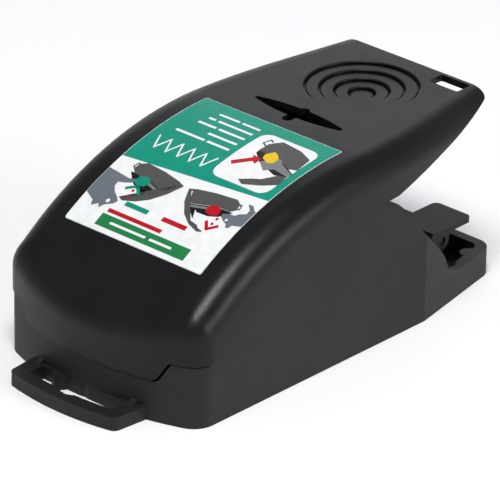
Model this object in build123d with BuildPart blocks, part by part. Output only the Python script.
from build123d import *
import os
from math import pi

# Enclosed snap mouse trap, drawn closed. Millimetres, +Z up, mouth towards -Y, thumb plate towards +Y.
# The origin is under the middle of the trap, on the surface that it stands on.

# ---- driving dimensions -------------------------------------------------------------------------
BASE_HALF_WIDTH = 29.0
FRONT_APEX_Y = -50.5          # foremost point of the bowed front wall of the base
FRONT_RADIUS = 70.0           # bow of that wall, in plan
TAIL_Y = 59.2
TAIL_HALF_WIDTH = 23.0
BASE_CORNER = 5.6             # rounding of the two front corners, in plan
TAIL_CORNER = 4.5
TAPER_Y = 29.0                # where the side walls turn in towards the tail
WALL = 1.8
FLOOR = 1.8
CLEAR = 0.35                  # gap between the two halves of the clam

COVER_TOP = 45.6              # height of the flat thumb plate
COVER_OVERHANG = 0.4          # the cover stands proud of the base by this much
COVER_REAR_Y = 56.9
COVER_REAR_HALF_WIDTH = 23.5
COVER_WALL = 1.6
SHOULDER = 6.2                # rounding between the top and the sides of the cover
CROWN_RADIUS = 88.0           # the top falls towards the mouth on this radius
CROWN_START_Y = 12.0

SEAM_FRONT_Y = -41.5          # the seam climbs from here to the hinge
SEAM_FRONT_Z = 15.0
SEAM_MID_Y = -13.2
SEAM_MID_Z = 28.4
SEAM_REAR_Y = 14.3
SEAM_REAR_Z = 34.4
LIP_Z = 10.0                  # the front lip of the cover hangs down to here
LIP_HALF_WIDTH = 19.0
LIP_STEP = 3.2                # sideways run of the step at each end of the lip
LIP_FILLET = 2.0

HINGE_Y = 16.5
HINGE_Z = 29.0
HINGE_PIN_R = 1.5
RUN = 0.05                    # running clearance of a pin in its hole
EAR_R = 4.0
POST_INNER_X = 25.2           # inner face of the hinge posts of the base
EAR_OUTER_X = 24.8
EAR_INNER_X = 22.8

PIVOT_Y = 45.0                # the trigger lever turns about this line
PIVOT_Z = 11.2
PIVOT_PIN_R = 1.0
KNUCKLE_R = 2.3
TAB_X0 = 9.0                  # finger tab of the trigger lever, off to one side
TAB_X1 = 20.0
TAB_TOP = 14.0
TAB_THICKNESS = 1.2
TAB_REAR_Y = 55.3
CHEEK_X = (4.2, 14.0)         # middle planes of the two cheeks that carry the trigger pin
CHEEK_WIDTH = 2.0
CHEEK_SPREAD = 2.0            # each cheek's foot is longer than its head by this, front and back

ARM_Z = 8.4
ARM_THICKNESS = 2.2
ARM_HALF_WIDTH = 3.5
HEAD_PIN_Y = -7.0
HEAD_PIN_R = 0.72
HEAD_PIN_Z = ARM_Z + ARM_THICKNESS / 2
BAIT_Y = -21.0
BAIT_R = 7.6

PAD_Y = 39.0                  # ringed thumb pad
PAD_R = 13.5

os.makedirs("parts", exist_ok=True)


def circle_drop(radius, run):
    """How far an arc of this radius falls over a run measured from its crest."""
    return radius - (radius**2 - run**2) ** 0.5


# ---- outlines that several pieces share ---------------------------------------------------------
def base_plan(inset):
    """Plan of the base: bowed front, straight sides, and a tail that narrows."""
    side = BASE_HALF_WIDTH - inset
    apex = FRONT_APEX_Y + inset
    corner_y = apex + circle_drop(FRONT_RADIUS, side)
    rear = TAIL_HALF_WIDTH - inset
    end_y = TAIL_Y - inset
    with BuildSketch() as outline:
        with BuildLine():
            ThreePointArc((-side, corner_y), (0, apex), (side, corner_y))
            Polyline((side, corner_y), (side, TAPER_Y), (rear, end_y))
            Line((rear, end_y), (-rear, end_y))
            Polyline((-rear, end_y), (-side, TAPER_Y), (-side, corner_y))
        make_face()
        fillet(outline.vertices().sort_by(Axis.Y)[:2], radius=BASE_CORNER - inset)
        fillet(outline.vertices().sort_by(Axis.Y)[-2:], radius=TAIL_CORNER - inset)
    return outline.sketch


# ---- base: tub with a front loop, hinge posts, cheeks and an open tail --------------------------
RIM_Z = 6.5                   # low rim around the tail
RIM_WIDTH = 2.4
RIM_START_Y = 46.0
REAR_SLOPE = ((19.6, 31.9), (28.5, 21.9), (38.0, 11.4))   # the side wall's edge falls through these (y, z)
SPAN = 80.0                   # wider than the trap, for cuts that go right across it
REACH = 8.0                   # how far such cuts run past its ends

LEDGE_X = 21.6                # small ledge on the inside of that rim
LEDGE_Y = 52.4
LEDGE_R = 2.0
LEDGE_THICKNESS = 2.0

LOOP_HALF_WIDTH = 16.0
LOOP_FRONT_Y = -59.2
LOOP_BOW = 1.9
LOOP_SPREAD = 1.0             # it widens by this much on each side, down to its root
LOOP_CORNER = 1.8
LOOP_ROOT_Y = -46.5
LOOP_HEIGHT = 3.3
SLOT_HALF_WIDTH = 12.4
SLOT_REAR_Y = -50.4
SLOT_FRONT_Y = -55.7
SLOT_BOW = 1.0
KEYHOLE_R = 3.2
KEYHOLE_BITE = 0.9            # how far the keyhole reaches into the bar
GUSSET_LENGTH = 1.8           # ribs that tie the ends of the loop to the front wall
GUSSET_HEIGHT = 4.4
GUSSET_SETBACK = 2.0          # from the end of the loop to the middle of the rib
GUSSET_WIDTH = 1.6
GUSSET_Y = FRONT_APEX_Y + circle_drop(FRONT_RADIUS, LOOP_HALF_WIDTH - GUSSET_SETBACK)
LUG_X = -7.4                  # half-round lug behind the slot
LUG_R = 2.3
LUG_BACK = 0.7                # its axis lies this far behind the edge of the slot

BAIT_FLANGE_R = 9.4
BAIT_FLANGE = 1.0
PRESS_RUN = 0.1

SCREW_R = 1.1
SCREW_HEAD_R = 2.1
SCREW_HEAD = 1.3
CRADLE_Z = 12.0
SPRING_COIL_R = 4.1
SPRING_WIRE_R = 0.7
SPRING_X = 13.6
SPRING_LENGTH = 7.3
SPRING_TURNS = 4.5
SPRING_POST_Y = 6.0
SPRING_POST_DEPTH = 3.0
SPRING_POST_WIDTH = 3.2
SPRING_POST_TOP = 28.0
SPRING_LEAN = SPRING_LENGTH / SPRING_TURNS / (2 * pi * SPRING_COIL_R)   # sideways run of its legs
LEG_CLEARANCE = 0.2
LOWER_JAW_SCREWS = ((-14.0, -33.0), (14.0, -33.0))
SCREW_BOSS_R = 2.4
SCREW_BOSS_HEIGHT = 3.0
LOWER_SCREW_LENGTH = 4.0


def base_side_profile():
    """Side view of the tub; its top edge follows the seam, rounds the hinge and falls to the tail."""
    front_y = FRONT_APEX_Y - REACH
    rear_y = TAIL_Y + REACH
    start = (SEAM_FRONT_Y, SEAM_FRONT_Z - CLEAR)
    middle = (SEAM_MID_Y, SEAM_MID_Z - CLEAR)
    peak = (SEAM_REAR_Y, SEAM_REAR_Z - CLEAR)
    rim = (RIM_START_Y, RIM_Z)
    with BuildSketch(Plane.YZ.offset(-SPAN / 2)) as profile:
        with BuildLine():
            Line((front_y, SEAM_FRONT_Z - CLEAR), start)
            ThreePointArc(start, middle, peak)
            Spline(peak, *REAR_SLOPE, rim, tangents=((1, 0), (1, 0)))
            Polyline(rim, (rear_y, RIM_Z), (rear_y, 0), (front_y, 0), (front_y, SEAM_FRONT_Z - CLEAR))
        make_face()
    return profile.sketch


def lip_outline(grow, top):
    """Front view of the hanging lip: flat bottom and an S-shaped step up at each side."""
    half = LIP_HALF_WIDTH + grow
    wide = half + LIP_STEP
    foot = LIP_Z - grow
    knee = SEAM_FRONT_Z - grow
    with BuildSketch(Plane.XZ) as lip:
        with BuildLine():
            Polyline((-half, foot), (half, foot), (wide, knee), (wide, top), (-wide, top),
                     (-wide, knee), close=True)
        make_face()
        fillet(lip.vertices().group_by(Axis.Y)[0], radius=LIP_FILLET)
    return lip.sketch


def loop_plan():
    """Carrying loop moulded on the front, with a bowed front edge."""
    side_y = LOOP_FRONT_Y + LOOP_BOW
    root = LOOP_HALF_WIDTH + LOOP_SPREAD
    with BuildSketch() as loop:
        with BuildLine():
            ThreePointArc((-LOOP_HALF_WIDTH, side_y), (0, LOOP_FRONT_Y), (LOOP_HALF_WIDTH, side_y))
            Polyline((LOOP_HALF_WIDTH, side_y), (root, LOOP_ROOT_Y), (-root, LOOP_ROOT_Y),
                     (-LOOP_HALF_WIDTH, side_y))
        make_face()
        fillet(loop.vertices().group_by(Axis.Y)[0], radius=LOOP_CORNER)
    return loop.sketch


def loop_slot():
    """Slot behind the bar of the loop, with a keyhole bite in its front edge."""
    corner_y = SLOT_FRONT_Y + SLOT_BOW
    with BuildSketch() as slot:
        with BuildLine():
            ThreePointArc((-SLOT_HALF_WIDTH, corner_y), (0, SLOT_FRONT_Y), (SLOT_HALF_WIDTH, corner_y))
            Polyline((SLOT_HALF_WIDTH, corner_y), (SLOT_HALF_WIDTH, SLOT_REAR_Y),
                     (-SLOT_HALF_WIDTH, SLOT_REAR_Y), (-SLOT_HALF_WIDTH, corner_y))
        make_face()
        with Locations((0, SLOT_FRONT_Y + KEYHOLE_R - KEYHOLE_BITE)):
            Circle(KEYHOLE_R)
    return slot.sketch


def cheek_profile():
    """Side view of a cheek that carries the trigger pin: a round head on a spreading foot."""
    foot_z = FLOOR / 2
    with BuildSketch(Plane.YZ) as cheek:
        with Locations((PIVOT_Y, PIVOT_Z)):
            Circle(KNUCKLE_R)
        with BuildLine():
            Polyline((PIVOT_Y - KNUCKLE_R, PIVOT_Z), (PIVOT_Y - KNUCKLE_R - CHEEK_SPREAD, foot_z),
                     (PIVOT_Y + KNUCKLE_R + CHEEK_SPREAD, foot_z), (PIVOT_Y + KNUCKLE_R, PIVOT_Z), close=True)
        make_face()
        with Locations((PIVOT_Y, PIVOT_Z)):
            Circle(PIVOT_PIN_R + RUN, mode=Mode.SUBTRACT)
    return cheek.sketch


def post_profile(height):
    """Side view of a hinge post, from the floor to the round head that holds the hinge pin."""
    with BuildSketch(Plane.YZ) as post:
        with Locations((HINGE_Y, HINGE_Z)):
            Circle(EAR_R)
        with Locations((HINGE_Y, height / 2)):
            Rectangle(2 * EAR_R, height)
        with Locations((HINGE_Y, HINGE_Z)):
            Circle(HINGE_PIN_R + RUN, mode=Mode.SUBTRACT)
    return post.sketch


with BuildPart() as base_tub:
    extrude(base_plan(0), amount=SPAN, dir=(0, 0, 1))
    extrude(base_side_profile(), amount=SPAN, dir=(1, 0, 0), mode=Mode.INTERSECT)
    # the hollow inside the walls; the rim of the tail tray is thicker
    with BuildSketch(Plane.XY.offset(FLOOR)):
        add(base_plan(WALL))
        with Locations((0, RIM_START_Y + SPAN / 2)):
            Rectangle(SPAN, SPAN, mode=Mode.SUBTRACT)
    extrude(amount=SPAN, mode=Mode.SUBTRACT)
    with BuildSketch(Plane.XY.offset(FLOOR)):
        add(base_plan(RIM_WIDTH))
        with Locations((0, RIM_START_Y - SPAN / 2)):
            Rectangle(SPAN, SPAN, mode=Mode.SUBTRACT)
    extrude(amount=SPAN, mode=Mode.SUBTRACT)
    # notch in the front wall for the hanging lip of the cover
    extrude(lip_outline(CLEAR, SEAM_REAR_Z), amount=SPAN, dir=(0, -1, 0), mode=Mode.SUBTRACT)
    # carrying loop, its slot, the gussets at its ends and the lug behind it
    extrude(loop_plan(), amount=LOOP_HEIGHT, dir=(0, 0, 1))
    extrude(loop_slot(), amount=LOOP_HEIGHT, dir=(0, 0, 1), mode=Mode.SUBTRACT)
    with Locations((LUG_X, SLOT_REAR_Y + LUG_BACK, LOOP_HEIGHT / 2)):
        Cylinder(LUG_R, LOOP_HEIGHT)
    for side in (-1, 1):
        with BuildSketch(Plane.YZ.offset(side * (LOOP_HALF_WIDTH - GUSSET_SETBACK) - GUSSET_WIDTH / 2)):
            with BuildLine():
                Polyline((GUSSET_Y + WALL, LOOP_HEIGHT / 2), (GUSSET_Y + WALL, GUSSET_HEIGHT),
                         (GUSSET_Y, GUSSET_HEIGHT), (GUSSET_Y - GUSSET_LENGTH, LOOP_HEIGHT),
                         (GUSSET_Y - GUSSET_LENGTH, LOOP_HEIGHT / 2), close=True)
            make_face()
        extrude(amount=GUSSET_WIDTH)
    # hinge posts with blind bores for the hinge pin
    for side in (-1, 1):
        extrude(Pos(side * POST_INNER_X, 0, 0) * post_profile(HINGE_Z),
                amount=BASE_HALF_WIDTH - WALL / 2 - POST_INNER_X, dir=(side, 0, 0))
    # cheeks for the trigger pin
    for x in CHEEK_X:
        extrude(Pos(x - CHEEK_WIDTH / 2, 0, 0) * cheek_profile(), amount=CHEEK_WIDTH, dir=(1, 0, 0))
    # the middle cheek ends in an open cradle, low enough to pass under the finger tab
    with Locations((CHEEK_X[1], PIVOT_Y, CRADLE_Z + SPAN / 2)):
        Box(CHEEK_WIDTH, 4 * KNUCKLE_R, SPAN, mode=Mode.SUBTRACT)
    # posts whose holes hold the lower legs of the jaw springs
    for side in (-1, 1):
        with Locations((side * SPRING_X, SPRING_POST_Y, SPRING_POST_TOP / 2)):
            Box(SPRING_POST_WIDTH, SPRING_POST_DEPTH, SPRING_POST_TOP)
        leg_x = side * (SPRING_X - SPRING_LEAN * (HINGE_Y - SPRING_POST_Y))
        with Locations(Location((leg_x, SPRING_POST_Y, HINGE_Z - SPRING_COIL_R), (90, 0, 0))):
            Cylinder(SPRING_WIRE_R + LEG_CLEARANCE, SPRING_POST_DEPTH, mode=Mode.SUBTRACT)
    # thumb ledge on the inside of the tail rim
    with Locations((LEDGE_X, LEDGE_Y, RIM_Z - LEDGE_THICKNESS / 2)):
        Cylinder(LEDGE_R, LEDGE_THICKNESS)
    # bosses under the lower jaw
    for x, y in LOWER_JAW_SCREWS:
        with Locations((x, y, FLOOR + SCREW_BOSS_HEIGHT / 2)):
            Cylinder(SCREW_BOSS_R, SCREW_BOSS_HEIGHT)
        with Locations((x, y, FLOOR + SCREW_BOSS_HEIGHT)):
            Hole(SCREW_R + RUN, depth=LOWER_SCREW_LENGTH)
    # seat for the bait cup, pushed in from below
    with Locations((0, BAIT_Y, FLOOR / 2)):
        Cylinder(BAIT_R + PRESS_RUN, FLOOR, mode=Mode.SUBTRACT)
    with Locations((0, BAIT_Y, BAIT_FLANGE / 2)):
        Cylinder(BAIT_FLANGE_R + PRESS_RUN, BAIT_FLANGE, mode=Mode.SUBTRACT)
base_tub.part.label = "base_tub"
export_step(base_tub.part, "parts/base_tub.step")


# ---- fittings of the base ------------------------------------------------------------------------
CUP_HEIGHT = 5.6
CUP_FLOOR = 0.8
CUP_WALL = 1.2
COIN_SLOT_LENGTH = 10.0
COIN_SLOT_WIDTH = 1.6
COIN_SLOT_DEPTH = 0.4
with BuildPart() as bait_cup:
    with Locations((0, BAIT_Y, BAIT_FLANGE / 2)):
        Cylinder(BAIT_FLANGE_R, BAIT_FLANGE)
    with Locations((0, BAIT_Y, CUP_HEIGHT / 2)):
        Cylinder(BAIT_R, CUP_HEIGHT)
    with Locations((0, BAIT_Y, CUP_FLOOR + CUP_HEIGHT / 2)):
        Cylinder(BAIT_R - CUP_WALL, CUP_HEIGHT, mode=Mode.SUBTRACT)
    # coin slot underneath, to turn it out for cleaning
    with Locations((0, BAIT_Y, COIN_SLOT_DEPTH / 2)):
        Box(COIN_SLOT_LENGTH, COIN_SLOT_WIDTH, COIN_SLOT_DEPTH, mode=Mode.SUBTRACT)
bait_cup.part.label = "bait_cup"
export_step(bait_cup.part, "parts/bait_cup.step")

TEETH = 9
TOOTH_PITCH = 4.2
LOWER_BAR_Y = -37.4
BAR_THICKNESS = 1.8
LOWER_PLATE_Z = FLOOR + SCREW_BOSS_HEIGHT
LOWER_PLATE_Y = -35.8
LOWER_PLATE_LENGTH = 11.0
LOWER_PLATE_THICKNESS = 1.2
LOWER_TOOTH_FOOT = 8.0
LOWER_TOOTH_TIP = 10.6


def tooth_row(foot_z, tip_z, back_z, count):
    """Front view of a toothed bar: a straight back and pointed teeth."""
    half = count * TOOTH_PITCH / 2
    with BuildSketch(Plane.XZ) as bar:
        with BuildLine():
            for n in range(count):
                x = -half + n * TOOTH_PITCH
                Polyline((x, foot_z), (x + TOOTH_PITCH / 2, tip_z), (x + TOOTH_PITCH, foot_z))
            Polyline((half, foot_z), (half, back_z), (-half, back_z), (-half, foot_z))
        make_face()
    return bar.sketch


with BuildPart() as lower_jaw:
    with Locations((0, LOWER_PLATE_Y, LOWER_PLATE_Z + LOWER_PLATE_THICKNESS / 2)):
        Box(TEETH * TOOTH_PITCH, LOWER_PLATE_LENGTH, LOWER_PLATE_THICKNESS)
    extrude(Pos(0, LOWER_BAR_Y, 0) * tooth_row(LOWER_TOOTH_FOOT, LOWER_TOOTH_TIP, LOWER_PLATE_Z, TEETH),
            amount=BAR_THICKNESS, dir=(0, 1, 0))
    for x, y in LOWER_JAW_SCREWS:
        with Locations((x, y, LOWER_PLATE_Z + LOWER_PLATE_THICKNESS)):
            Hole(SCREW_R + RUN)
lower_jaw.part.label = "lower_jaw"
export_step(lower_jaw.part, "parts/lower_jaw.step")


CROSS_LENGTH = 2.4
CROSS_WIDTH = 0.5


def self_tapping_screw(x, y, seat_z, length, up):
    """Pan-head screw standing on its seat; up is +1 when its head is above the shank."""
    with BuildPart() as screw:
        with Locations((x, y, seat_z + up * SCREW_HEAD / 2)):
            Cylinder(SCREW_HEAD_R, SCREW_HEAD)
        with Locations((x, y, seat_z - up * length / 2)):
            Cylinder(SCREW_R, length)
        with Locations((x, y, seat_z + up * SCREW_HEAD)):
            Box(CROSS_LENGTH, CROSS_WIDTH, SCREW_HEAD, mode=Mode.SUBTRACT)
            Box(CROSS_WIDTH, CROSS_LENGTH, SCREW_HEAD, mode=Mode.SUBTRACT)
    return screw.part


lower_jaw_screws = Compound(
    children=[self_tapping_screw(x, y, LOWER_PLATE_Z + LOWER_PLATE_THICKNESS, LOWER_SCREW_LENGTH, 1)
              for x, y in LOWER_JAW_SCREWS]
)
lower_jaw_screws.label = "lower_jaw_screws"
export_step(lower_jaw_screws, "parts/lower_jaw_screws.step")

with BuildPart() as hinge_pin:
    with Locations(Location((0, HINGE_Y, HINGE_Z), (0, 90, 0))):
        Cylinder(HINGE_PIN_R, 2 * (BASE_HALF_WIDTH - WALL) - PRESS_RUN)
hinge_pin.part.label = "hinge_pin"
export_step(hinge_pin.part, "parts/hinge_pin.step")

PIN_CLIP_X = 22.0
PIN_CLIP_R = 3.0
PIN_CLIP_THICKNESS = 0.6
with BuildPart() as hinge_pin_clips:
    for side in (-1, 1):
        with Locations(Location((side * PIN_CLIP_X, HINGE_Y, HINGE_Z), (0, 90, 0))):
            Cylinder(PIN_CLIP_R, PIN_CLIP_THICKNESS)
    with Locations(Location((0, HINGE_Y, HINGE_Z), (0, 90, 0))):
        Cylinder(HINGE_PIN_R + RUN / 2, SPAN, mode=Mode.SUBTRACT)
hinge_pin_clips.part.label = "hinge_pin_clips"
export_step(hinge_pin_clips.part, "parts/hinge_pin_clips.step")

PIN_RECESS = 0.4
PIN_START_X = CHEEK_X[0] - CHEEK_WIDTH / 2
PIN_END_X = TAB_X1 - PIN_RECESS
with BuildPart() as trigger_pin:
    with Locations(Location(((PIN_START_X + PIN_END_X) / 2, PIVOT_Y, PIVOT_Z), (0, 90, 0))):
        Cylinder(PIVOT_PIN_R, PIN_END_X - PIN_START_X)
trigger_pin.part.label = "trigger_pin"
export_step(trigger_pin.part, "parts/trigger_pin.step")


def torsion_spring(place, coil_r, wire_r, length, turns, lead_in, lead_out):
    """Coil along the placing plane's normal, with a straight leg running on from each of its ends."""
    with BuildPart() as spring:
        with BuildLine() as path:
            Helix(length / turns, length, coil_r)
        with BuildSketch(Plane(path.line @ 0, z_dir=path.line % 0)):
            Circle(wire_r)
        sweep(path=path.line, is_frenet=True)
        with BuildSketch(Plane(path.line @ 0, z_dir=-(path.line % 0))):
            Circle(wire_r)
        extrude(amount=lead_in)
        with BuildSketch(Plane(path.line @ 1, z_dir=path.line % 1)):
            Circle(wire_r)
        extrude(amount=lead_out)
    return place.location * spring.part


TRIGGER_COIL_R = 1.7
TRIGGER_WIRE_R = 0.28
TRIGGER_COIL_X = 6.2
TRIGGER_COIL_LENGTH = 2.0
TRIGGER_COIL_TURNS = 3.25
TRIGGER_LEG = 7.2
FLOOR_LEG = PIVOT_Z - FLOOR - CLEAR
trigger_spring = torsion_spring(
    Plane((TRIGGER_COIL_X, PIVOT_Y, PIVOT_Z), x_dir=(0, 1, 0), z_dir=(1, 0, 0)),
    TRIGGER_COIL_R, TRIGGER_WIRE_R, TRIGGER_COIL_LENGTH, TRIGGER_COIL_TURNS, FLOOR_LEG, TRIGGER_LEG)
trigger_spring.label = "trigger_spring"
export_step(trigger_spring, "parts/trigger_spring.step")


# ---- trigger: one long lever with a finger tab at the tail ---------------------------------------
DOGLEG_REAR_Y = 41.5           # corners of the dog-leg, from the knuckle forwards
DOGLEG_RIGHT_Y = 40.0
DOGLEG_LEFT_Y = 33.0
DOGLEG_FRONT_Y = 29.0
DOGLEG_X = 18.5
ARM_FRONT_Y = -3.0


def arm_plan():
    """Plan of the lever: knuckle end off to one side, a dog-leg, then a straight run on the centre."""
    with BuildSketch(Plane.XY.offset(ARM_Z)) as arm:
        with BuildLine():
            Polyline((TAB_X0, PIVOT_Y), (TAB_X0, DOGLEG_REAR_Y), (-ARM_HALF_WIDTH, DOGLEG_LEFT_Y),
                     (-ARM_HALF_WIDTH, ARM_FRONT_Y), (ARM_HALF_WIDTH, ARM_FRONT_Y),
                     (ARM_HALF_WIDTH, DOGLEG_FRONT_Y), (DOGLEG_X, DOGLEG_RIGHT_Y), (TAB_X1, PIVOT_Y),
                     close=True)
        make_face()
    return arm.sketch


TAB_OVERLAP = 1.0              # the tab starts this far in front of the pivot
TAB_CORNER = 1.6
WEB_INSET = 0.2
WEB_REAR = 3.4
CLEVIS_GAP = 0.3               # beside the middle cheek, on each side
CLEVIS_LENGTH = 9.6
HEAD_FORK_WIDTH = 3.4
HEAD_FORK_LENGTH = 4.4
FORK_LENGTH = 7.0
SPRING_REST_SIZE = 2.0
SPRING_REST_Z = PIVOT_Z + TRIGGER_COIL_R - TRIGGER_WIRE_R - RUN
WEB_FRONT_Y = 37.0             # the web that carries the tab rises from the arm here
WEB_TOP_Y = 42.0
with BuildPart() as trigger_arm:
    extrude(arm_plan(), amount=ARM_THICKNESS, dir=(0, 0, 1))
    # knuckle and finger tab, the tab running off the top of the knuckle
    with BuildSketch(Plane.YZ.offset(TAB_X0)):
        with Locations((PIVOT_Y, PIVOT_Z)):
            Circle(KNUCKLE_R)
    extrude(amount=TAB_X1 - TAB_X0)
    with BuildSketch(Plane.XY.offset(TAB_TOP - TAB_THICKNESS)) as tab:
        with BuildLine():
            Polyline((TAB_X0, PIVOT_Y - TAB_OVERLAP), (TAB_X0, TAB_REAR_Y), (TAB_X1, TAB_REAR_Y),
                     (TAB_X1, PIVOT_Y - TAB_OVERLAP), close=True)
        make_face()
        fillet(tab.vertices().group_by(Axis.Y)[-1], radius=TAB_CORNER)
    extrude(amount=TAB_THICKNESS)
    with BuildSketch(Plane.YZ.offset(TAB_X0)):
        with BuildLine():
            Polyline((WEB_FRONT_Y, ARM_Z), (WEB_FRONT_Y, ARM_Z + ARM_THICKNESS), (WEB_TOP_Y, TAB_TOP),
                     (PIVOT_Y + WEB_REAR, TAB_TOP), (PIVOT_Y + KNUCKLE_R - WEB_INSET, PIVOT_Z),
                     (PIVOT_Y - KNUCKLE_R + WEB_INSET, PIVOT_Z - PIVOT_PIN_R), close=True)
        make_face()
    extrude(amount=TAB_X1 - TAB_X0)
    # rest for the leg of the trigger spring
    with Locations((TAB_X0, PIVOT_Y - TRIGGER_LEG + SPRING_REST_SIZE / 2, (SPRING_REST_Z + ARM_Z) / 2)):
        Box(2 * SPRING_REST_SIZE, SPRING_REST_SIZE, SPRING_REST_Z - ARM_Z)
    # clevis gap for the middle cheek, and the pin hole
    with Locations((CHEEK_X[1], PIVOT_Y, TAB_TOP - TAB_THICKNESS - RUN - ARM_Z / 2)):
        Box(CHEEK_WIDTH + 2 * CLEVIS_GAP, CLEVIS_LENGTH, ARM_Z, mode=Mode.SUBTRACT)
    with Locations(Location((0, PIVOT_Y, PIVOT_Z), (0, 90, 0))):
        Cylinder(PIVOT_PIN_R + RUN, SPAN, mode=Mode.SUBTRACT)
    # fork at the front for the trigger head
    with Locations((0, HEAD_PIN_Y + FORK_LENGTH / 2 - HEAD_FORK_LENGTH / 2, HEAD_PIN_Z)):
        Box(2 * ARM_HALF_WIDTH, FORK_LENGTH, ARM_THICKNESS)
    with Locations((0, HEAD_PIN_Y, HEAD_PIN_Z)):
        Box(HEAD_FORK_WIDTH, HEAD_FORK_LENGTH, 2 * ARM_THICKNESS, mode=Mode.SUBTRACT)
    with Locations(Location((0, HEAD_PIN_Y, HEAD_PIN_Z), (0, 90, 0))):
        Cylinder(HEAD_PIN_R + RUN, SPAN, mode=Mode.SUBTRACT)
trigger_arm.part.label = "trigger_arm"
export_step(trigger_arm.part, "parts/trigger_arm.step")


HEAD_FRONT_Y = -31.0
HEAD_REAR_Y = -9.6
HEAD_HALF_WIDTH = 9.0
HEAD_THICKNESS = 1.6
HEAD_Z = ARM_Z + 0.2
HEAD_CORNER = 3.0
HEAD_RIM = 1.6                # the bait window is smaller than the cup by this much
NOSE_WIDTH = 12.0
NOSE_THICKNESS = 1.4
NOSE_HEIGHT = 3.7
TONGUE_WIDTH = 2.8
TONGUE_EYE_R = 1.3
with BuildPart() as trigger_head:
    with BuildSketch(Plane.XY.offset(HEAD_Z)):
        with Locations((0, (HEAD_FRONT_Y + HEAD_REAR_Y) / 2)):
            RectangleRounded(2 * HEAD_HALF_WIDTH, HEAD_REAR_Y - HEAD_FRONT_Y, HEAD_CORNER)
        with Locations((0, BAIT_Y)):
            Circle(BAIT_R - HEAD_RIM, mode=Mode.SUBTRACT)
    extrude(amount=HEAD_THICKNESS)
    # upturned nose that a mouse lifts, and the tongue that the head pin goes through
    with Locations((0, HEAD_FRONT_Y + NOSE_THICKNESS / 2, HEAD_Z + NOSE_HEIGHT / 2)):
        Box(NOSE_WIDTH, NOSE_THICKNESS, NOSE_HEIGHT)
    with Locations((0, (HEAD_REAR_Y + HEAD_PIN_Y) / 2, HEAD_PIN_Z)):
        Box(TONGUE_WIDTH, HEAD_PIN_Y - HEAD_REAR_Y + TONGUE_EYE_R, HEAD_THICKNESS)
    with Locations(Location((0, HEAD_PIN_Y, HEAD_PIN_Z), (0, 90, 0))):
        Cylinder(TONGUE_EYE_R, TONGUE_WIDTH)
        Cylinder(HEAD_PIN_R + RUN, SPAN, mode=Mode.SUBTRACT)
trigger_head.part.label = "trigger_head"
export_step(trigger_head.part, "parts/trigger_head.step")

with BuildPart() as trigger_head_pin:
    with Locations(Location((0, HEAD_PIN_Y, HEAD_PIN_Z), (0, 90, 0))):
        Cylinder(HEAD_PIN_R, 2 * ARM_HALF_WIDTH)
trigger_head_pin.part.label = "trigger_head_pin"
export_step(trigger_head_pin.part, "parts/trigger_head_pin.step")


# ---- cover: the upper half of the clam -----------------------------------------------------------
COVER_FALL_Y = -56.0          # the crown arc is drawn this far, past the front wall
COVER_TAPER_Y = 10.0
COVER_CORNER = 6.4
COVER_TAIL_LEAN = 0.16
TOP_FACING = 0.3              # a face whose normal rises more than this belongs to the top
FLANGE_START = (19.2, 34.6)   # the cover's lower edge is straight between these (y, z)
FLANGE_END = (COVER_REAR_Y + REACH, 45.9)
LIP_BACK_Y = -44.0            # the hanging lip is only kept in front of this


def cover_plan(inset):
    """Plan of the cover: as the base at the front, drawn in smoothly towards the thumb plate."""
    side = BASE_HALF_WIDTH + COVER_OVERHANG - inset
    apex = FRONT_APEX_Y - COVER_OVERHANG + inset
    corner_y = apex + circle_drop(FRONT_RADIUS, side)
    rear = COVER_REAR_HALF_WIDTH - inset
    with BuildSketch() as outline:
        with BuildLine():
            ThreePointArc((-side, corner_y), (0, apex), (side, corner_y))
            Line((side, corner_y), (side, COVER_TAPER_Y))
            Spline((side, COVER_TAPER_Y), (rear, COVER_REAR_Y),
                   tangents=((0, 1), (-COVER_TAIL_LEAN, 1)))
            Line((rear, COVER_REAR_Y), (-rear, COVER_REAR_Y))
            Spline((-rear, COVER_REAR_Y), (-side, COVER_TAPER_Y),
                   tangents=((-COVER_TAIL_LEAN, -1), (0, -1)))
            Line((-side, COVER_TAPER_Y), (-side, corner_y))
        make_face()
        fillet(outline.vertices().sort_by(Axis.Y)[:2], radius=COVER_CORNER - inset)
    return outline.sketch


def crown_line(inset, y):
    """Height of the middle of the cover's top at y, in front of where the crown starts."""
    return COVER_TOP - inset - circle_drop(CROWN_RADIUS - inset, CROWN_START_Y - y)


def crown_profile(inset, low_z):
    """Side view of everything under the top surface: flat thumb plate, then the long crown arc."""
    top = COVER_TOP - inset
    rear_y = COVER_REAR_Y + REACH
    middle_y = (CROWN_START_Y + COVER_FALL_Y) / 2
    fall = (COVER_FALL_Y, crown_line(inset, COVER_FALL_Y))
    with BuildSketch(Plane.YZ.offset(-SPAN / 2)) as profile:
        with BuildLine():
            Line((rear_y, top), (CROWN_START_Y, top))
            ThreePointArc((CROWN_START_Y, top), (middle_y, crown_line(inset, middle_y)), fall)
            Polyline(fall, (COVER_FALL_Y, low_z), (rear_y, low_z), (rear_y, top))
        make_face()
    return profile.sketch


def cover_blank(inset):
    """Solid bounded by the cover's outer skin, moved inwards by an inset."""
    with BuildPart() as blank:
        extrude(cover_plan(inset), amount=SPAN, dir=(0, 0, 1))
        extrude(crown_profile(inset, 0), amount=SPAN, dir=(1, 0, 0), mode=Mode.INTERSECT)
        top_edges = blank.faces().filter_by(lambda f: f.normal_at(f.center()).Z > TOP_FACING).edges()
        inner = [e for e in top_edges if top_edges.count(e) > 1]
        rear = [e for e in top_edges if min((e @ 0).Y, (e @ 1).Y) > COVER_REAR_Y - RUN]
        rim = [e for e in top_edges if e not in inner and e not in rear]
        fillet(rim, radius=SHOULDER - inset)
    return blank.part


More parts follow.
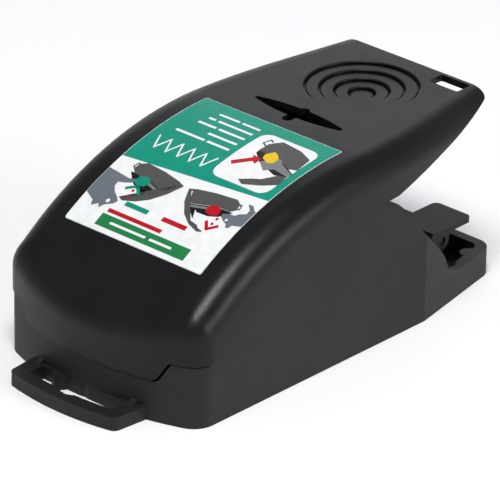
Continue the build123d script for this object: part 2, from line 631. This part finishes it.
def cover_keep():
    """What is left of the shell: all above the seam, and the hanging lip in front."""
    front_y = FRONT_APEX_Y - REACH
    high = COVER_TOP + REACH
    start = (SEAM_FRONT_Y, SEAM_FRONT_Z)
    peak = (SEAM_REAR_Y, SEAM_REAR_Z)
    with BuildPart() as keep:
        with BuildSketch(Plane.YZ.offset(-SPAN / 2)):
            with BuildLine():
                Line((front_y, SEAM_FRONT_Z), start)
                ThreePointArc(start, (SEAM_MID_Y, SEAM_MID_Z), peak)
                Polyline(peak, FLANGE_START, FLANGE_END, (FLANGE_END[0], high), (front_y, high),
                         (front_y, SEAM_FRONT_Z))
            make_face()
        extrude(amount=SPAN)
        extrude(Pos(0, LIP_BACK_Y, 0) * lip_outline(0, SEAM_FRONT_Z + CLEAR), amount=REACH, dir=(0, -1, 0))
    return keep.part


PAD_STEPS = (13.5, 10.2, 6.8, 3.5)
PAD_STEP = 0.6
PAD_GROOVE = 0.9
PAD_GROOVE_DEPTH = 0.35
PAD_ROUNDING = 0.25
PAD_BACKING = 2.4             # the boss under the dish hangs below the skin by this much
PAD_BACKING_R = 8.0
SLOT_CENTRE_Y = 17.8
SLOT_TIP_X = 14.4
SLOT_TIP_R = 0.6
SLOT_HALF_HEIGHT = 2.3
CROSS_SLOT_Y = 16.9
CROSS_SLOT_LENGTH = 8.2
CROSS_SLOT_WIDTH = 2.6
RIB_Y = 22.0
RIB_HALF_WIDTH = 15.0
RIB_DEPTH = 6.0
REAR_SLOT = (9.0, 17.6, 51.3, 56.0)   # low x, high x, low y, high y
REAR_SLOT_CORNER = 0.6
REAR_CORNER = 2.6             # rounding of the two rear corners of the thumb plate, in plan
REAR_CORNER_X = 22.5          # half-width of the plate there
HOOK_INSET = 0.8
HOOK_Y = 49.6                 # catch hook under the slot
HOOK_THICKNESS = 1.3
HOOK_BARB = 1.1
HOOK_FOOT_Z = 40.6
HOOK_BARB_TOP_Z = 42.0
HOOK_BARB_EDGE = 0.6
LABEL_HALF_WIDTH = 20.4
LABEL_FRONT_Y = -35.6
LABEL_REAR_Y = 9.7
LABEL_BED = 0.28               # depth of the bed that the label is stuck in
LABEL_THICKNESS = 0.2
LABEL_CORNER = 0.5
LABEL_SINK = 0.02             # the film's face lies this far under the crown
LABEL_GAP = 0.15
COVER_POSTS = ((17.0, -28.0, 28.8), (17.0, 7.0, 38.0))   # x, y and the height of the foot
POST_R = 2.6
POST_BORE = 4.8


def label_prism(grow, inset):
    """Block over the label's area, cut off below at the given depth under the crown."""
    with BuildPart() as prism:
        with BuildSketch(Plane.XY.offset(SEAM_FRONT_Z)):
            with Locations((0, (LABEL_FRONT_Y + LABEL_REAR_Y) / 2)):
                RectangleRounded(2 * (LABEL_HALF_WIDTH + grow),
                                 LABEL_REAR_Y - LABEL_FRONT_Y + 2 * grow, LABEL_CORNER)
        extrude(amount=COVER_TOP)
        extrude(crown_profile(inset, 0), amount=SPAN, dir=(1, 0, 0), mode=Mode.SUBTRACT)
    return prism.part


def pad_dish():
    """Round dish whose floor falls in steps, with a groove at the foot of each step."""
    with BuildPart() as dish:
        with BuildSketch(Plane.XZ.offset(-PAD_Y)) as section:
            with BuildLine():
                Line((0, COVER_TOP - len(PAD_STEPS) * PAD_STEP), (0, COVER_TOP + CLEAR))
                Polyline((0, COVER_TOP + CLEAR), (PAD_R, COVER_TOP + CLEAR), (PAD_R, COVER_TOP))
                for step, radius in enumerate(PAD_STEPS):
                    ledge_z = COVER_TOP - (step + 1) * PAD_STEP
                    groove_z = ledge_z - PAD_GROOVE_DEPTH
                    inner = radius - PAD_GROOVE
                    next_radius = (*PAD_STEPS, 0)[step + 1]
                    Polyline((radius, ledge_z + PAD_STEP), (radius, groove_z), (inner, groove_z),
                             (inner, ledge_z), (next_radius, ledge_z))
            make_face()
            fillet(section.vertices().filter_by(lambda v: v.X > RUN and v.Y < COVER_TOP - RUN),
                   radius=PAD_ROUNDING / 2)
        revolve(axis=Axis((0, PAD_Y, 0), (0, 0, 1)))
    return dish.part


cover_outer = cover_blank(0)
cover_inner = cover_blank(COVER_WALL)
cover_keep_part = cover_keep()
label_bed = label_prism(LABEL_GAP, LABEL_BED)
label_block = label_prism(0, LABEL_THICKNESS)
with BuildPart() as cover_posts:
    for x, y, foot in COVER_POSTS:
        for side in (-1, 1):
            with Locations((side * x, y, (foot + COVER_TOP) / 2)):
                Cylinder(POST_R, COVER_TOP - foot)
    extrude(crown_profile(COVER_WALL / 2, 0), amount=SPAN, dir=(1, 0, 0), mode=Mode.INTERSECT)
with BuildPart() as top_cover:
    add(cover_outer)
    add(cover_inner, mode=Mode.SUBTRACT)
    add(cover_keep_part, mode=Mode.INTERSECT)
    # boss under the thumb pad, then the pad's stepped dish
    with Locations((0, PAD_Y, COVER_TOP - COVER_WALL - PAD_BACKING / 2)):
        Cone(PAD_BACKING_R, PAD_R + COVER_WALL, PAD_BACKING)
    add(pad_dish(), mode=Mode.SUBTRACT)
    # lens-shaped slot across the top, crossed by a short one
    with BuildSketch(Plane.XY.offset(COVER_TOP - SHOULDER)) as lens:
        with BuildLine():
            ThreePointArc((-SLOT_TIP_X, SLOT_CENTRE_Y), (0, SLOT_CENTRE_Y + SLOT_HALF_HEIGHT),
                          (SLOT_TIP_X, SLOT_CENTRE_Y))
            ThreePointArc((SLOT_TIP_X, SLOT_CENTRE_Y), (0, SLOT_CENTRE_Y - SLOT_HALF_HEIGHT),
                          (-SLOT_TIP_X, SLOT_CENTRE_Y))
        make_face()
        fillet(lens.vertices(), radius=SLOT_TIP_R)
        with Locations((0, CROSS_SLOT_Y)):
            SlotOverall(CROSS_SLOT_LENGTH, CROSS_SLOT_WIDTH, rotation=90)
    extrude(amount=SPAN, mode=Mode.SUBTRACT)
    # slot near the rear corner, over the catch hook
    with BuildSketch(Plane.XY.offset(COVER_TOP - SHOULDER)):
        with Locations(((REAR_SLOT[0] + REAR_SLOT[1]) / 2, (REAR_SLOT[2] + REAR_SLOT[3]) / 2)):
            RectangleRounded(REAR_SLOT[1] - REAR_SLOT[0], REAR_SLOT[3] - REAR_SLOT[2], REAR_SLOT_CORNER)
    extrude(amount=SPAN, mode=Mode.SUBTRACT)
    with BuildSketch(Plane.YZ.offset(REAR_SLOT[0] + HOOK_INSET)):
        with BuildLine():
            Polyline((HOOK_Y, COVER_TOP - COVER_WALL / 2), (HOOK_Y, HOOK_FOOT_Z),
                     (HOOK_Y + HOOK_THICKNESS + HOOK_BARB, HOOK_FOOT_Z),
                     (HOOK_Y + HOOK_THICKNESS + HOOK_BARB, HOOK_FOOT_Z + HOOK_BARB_EDGE),
                     (HOOK_Y + HOOK_THICKNESS, HOOK_BARB_TOP_Z),
                     (HOOK_Y + HOOK_THICKNESS, COVER_TOP - COVER_WALL / 2), close=True)
        make_face()
    extrude(amount=REAR_SLOT[1] - REAR_SLOT[0] - 2 * HOOK_INSET)
    # stiffening rib behind the lens slot
    with Locations((0, RIB_Y, COVER_TOP - COVER_WALL / 2 - RIB_DEPTH / 2)):
        Box(2 * RIB_HALF_WIDTH, COVER_WALL, RIB_DEPTH)
    # round off the two rear corners
    for side in (-1, 1):
        with BuildSketch():
            with Locations((side * REAR_CORNER_X, COVER_REAR_Y)):
                Rectangle(2 * REAR_CORNER, 2 * REAR_CORNER)
            with Locations((side * (REAR_CORNER_X - REAR_CORNER), COVER_REAR_Y - REAR_CORNER)):
                Circle(REAR_CORNER, mode=Mode.SUBTRACT)
        extrude(amount=SPAN, mode=Mode.SUBTRACT)
    # shallow bed for the label
    add(label_bed, mode=Mode.SUBTRACT)
    # posts for the screws that hold the striker
    add(cover_posts.part)
    for x, y, foot in COVER_POSTS:
        for side in (-1, 1):
            with Locations((side * x, y, foot + POST_BORE / 2)):
                Cylinder(SCREW_R + RUN, POST_BORE, mode=Mode.SUBTRACT)
top_cover.part.label = "top_cover"
export_step(top_cover.part, "parts/top_cover.step")

with BuildPart() as label:
    add(label_block)
    extrude(crown_profile(LABEL_SINK, 0), amount=SPAN, dir=(1, 0, 0), mode=Mode.INTERSECT)
label.part.label = "label"
export_step(label.part, "parts/label.step")


# ---- upper jaw: toothed striker frame screwed under the cover ------------------------------------
STRIKER_Y = -43.4
STRIKER_EDGE = ((STRIKER_Y, 20.0), (-30.0, 28.0), (-15.0, 34.2), (2.0, 38.0), (10.0, 38.0), (20.2, 30.5),
                (18.5, 25.6), (5.0, 24.0), (-25.0, 17.6), (STRIKER_Y, 12.5))   # (y, z) round a cheek
STRIKER_WINDOW = ((-36.0, 19.6), (-28.0, 25.4), (-14.0, 30.8), (2.0, 34.0), (5.0, 28.2), (-20.0, 21.4))
UPPER_TOOTH_FOOT = 12.6
UPPER_TOOTH_TIP = 9.8
UPPER_BAR_TOP = 19.0
SPRING_BAR_Y = 1.5
SPRING_BAR_Z = 30.9
SPRING_BAR_SIZE = (3.0, 2.6)
BRACKET_LENGTH = 5.0
BRACKET_THICKNESS = 1.6
BRACKET_DROP = 0.2            # gap between a bracket and the foot of its post
BRACKET_INNER_X = 15.0


def striker_side():
    """Side view of a striker cheek: hinge ear at the rear, tapering to the toothed bar."""
    with BuildSketch(Plane.YZ) as side:
        with BuildLine():
            Polyline(*STRIKER_EDGE, close=True)
        make_face()
        with BuildLine():
            Polyline(*STRIKER_WINDOW, close=True)
        make_face(mode=Mode.SUBTRACT)
        with Locations((HINGE_Y, HINGE_Z)):
            Circle(EAR_R)
            Circle(HINGE_PIN_R + RUN, mode=Mode.SUBTRACT)
    return side.sketch


with BuildPart() as upper_jaw:
    for side in (-1, 1):
        start_x = EAR_INNER_X if side > 0 else -EAR_OUTER_X
        extrude(Pos(start_x, 0, 0) * striker_side(), amount=EAR_OUTER_X - EAR_INNER_X, dir=(1, 0, 0))
    extrude(Pos(0, STRIKER_Y + BAR_THICKNESS, 0)
            * tooth_row(UPPER_TOOTH_FOOT, UPPER_TOOTH_TIP, UPPER_BAR_TOP, TEETH + 1),
            amount=BAR_THICKNESS, dir=(0, -1, 0))
    with Locations((0, STRIKER_Y + BAR_THICKNESS / 2, (UPPER_TOOTH_FOOT + UPPER_BAR_TOP) / 2)):
        Box(EAR_INNER_X + EAR_OUTER_X, BAR_THICKNESS, UPPER_BAR_TOP - UPPER_TOOTH_FOOT)
    with Locations((0, SPRING_BAR_Y, SPRING_BAR_Z)):
        Box(EAR_INNER_X + EAR_OUTER_X, *SPRING_BAR_SIZE)
    for x, y, foot in COVER_POSTS:
        for side in (-1, 1):
            bracket_z = foot - BRACKET_DROP - BRACKET_THICKNESS / 2
            with Locations((side * (BRACKET_INNER_X + EAR_OUTER_X) / 2, y, bracket_z)):
                Box(EAR_OUTER_X - BRACKET_INNER_X, BRACKET_LENGTH, BRACKET_THICKNESS)
            with Locations((side * x, y, bracket_z)):
                Cylinder(SCREW_R + RUN, 2 * BRACKET_THICKNESS, mode=Mode.SUBTRACT)
upper_jaw.part.label = "upper_jaw"
export_step(upper_jaw.part, "parts/upper_jaw.step")

UPPER_SCREW_LENGTH = 6.0
upper_jaw_screws = Compound(
    children=[self_tapping_screw(side * x, y, foot - BRACKET_DROP - BRACKET_THICKNESS, UPPER_SCREW_LENGTH, -1)
              for x, y, foot in COVER_POSTS for side in (-1, 1)]
)
upper_jaw_screws.label = "upper_jaw_screws"
export_step(upper_jaw_screws, "parts/upper_jaw_screws.step")


# ---- torsion springs on plastic hubs, one each side ----------------------------------------------
HUB_R = 3.0
HUB_X0 = 11.9
HUB_X1 = 21.4
HUB_FLANGE_R = 5.2
HUB_FLANGE = 0.8


def spring_hub(side):
    """Bobbin inside a jaw spring, with a flange at its inner end."""
    with BuildPart() as hub:
        with Locations(Location((side * (HUB_X0 + HUB_X1) / 2, HINGE_Y, HINGE_Z), (0, 90, 0))):
            Cylinder(HUB_R, HUB_X1 - HUB_X0)
        with Locations(Location((side * (HUB_X0 + HUB_FLANGE / 2), HINGE_Y, HINGE_Z), (0, 90, 0))):
            Cylinder(HUB_FLANGE_R, HUB_FLANGE)
        with Locations(Location((0, HINGE_Y, HINGE_Z), (0, 90, 0))):
            Cylinder(HINGE_PIN_R + 2 * RUN, SPAN, mode=Mode.SUBTRACT)
    return hub.part


jaw_spring_right = torsion_spring(
    Plane((SPRING_X, HINGE_Y, HINGE_Z), x_dir=(0, 0, -1), z_dir=(1, 0, 0)),
    SPRING_COIL_R, SPRING_WIRE_R, SPRING_LENGTH, SPRING_TURNS,
    HINGE_Y - SPRING_POST_Y + SPRING_POST_DEPTH, HINGE_Y - SPRING_BAR_Y + SPRING_WIRE_R)
jaw_spring_left = jaw_spring_right.mirror(Plane.YZ)
jaw_spring_right.label = "jaw_spring_right"
export_step(jaw_spring_right, "parts/jaw_spring_right.step")
jaw_spring_left.label = "jaw_spring_left"
export_step(jaw_spring_left, "parts/jaw_spring_left.step")

spring_hub_right = spring_hub(1)
spring_hub_left = spring_hub(-1)
spring_hub_right.label = "spring_hub_right"
export_step(spring_hub_right, "parts/spring_hub_right.step")
spring_hub_left.label = "spring_hub_left"
export_step(spring_hub_left, "parts/spring_hub_left.step")

# sleeve that keeps the two hubs apart on the hinge pin
SPACER_R = 2.6
SPACER_HALF_LENGTH = 11.7
with BuildPart() as hinge_spacer:
    with Locations(Location((0, HINGE_Y, HINGE_Z), (0, 90, 0))):
        Cylinder(SPACER_R, 2 * SPACER_HALF_LENGTH)
        Cylinder(HINGE_PIN_R + RUN, 2 * SPACER_HALF_LENGTH, mode=Mode.SUBTRACT)
hinge_spacer.part.label = "hinge_spacer"
export_step(hinge_spacer.part, "parts/hinge_spacer.step")
